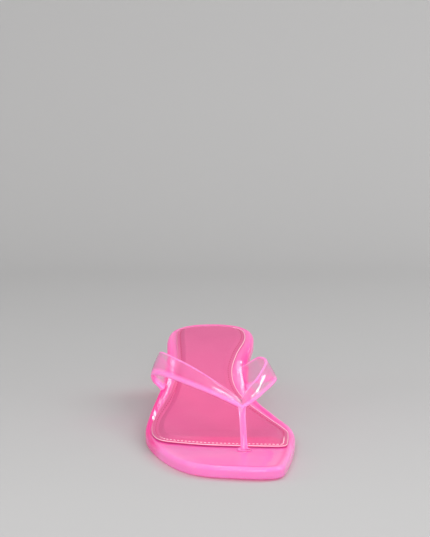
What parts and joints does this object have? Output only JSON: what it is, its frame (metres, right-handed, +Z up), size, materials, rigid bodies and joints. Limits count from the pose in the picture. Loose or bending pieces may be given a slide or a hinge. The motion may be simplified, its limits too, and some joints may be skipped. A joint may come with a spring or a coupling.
{
  "type": "jelly sandal",
  "caption": "Heeled toe-post mule in clear pink moulded PVC: square toe, V strap rising from a post between the toes, padded stitched insole and a slim low heel.",
  "frame": {"origin": "on the floor, under the middle of the shoe's bounding box", "axes": "+Y from the toe to the heel, +X towards the inner side of the foot (big toe side), +Z up"},
  "size_m": [0.0952, 0.243, 0.0489],
  "materials": {
    "jelly": "clear pink PVC jelly, polished, smooth as moulded",
    "heel_rubber": "pink wear-resistant rubber, satin",
    "insole_lining": "padded smooth synthetic lining with a stitched border"
  },
  "bodies": {
    "root": {"sole": "jelly", "heel_tip": "heel_rubber", "upper": "jelly", "insole": "insole_lining"}
  },
  "joints": []
}
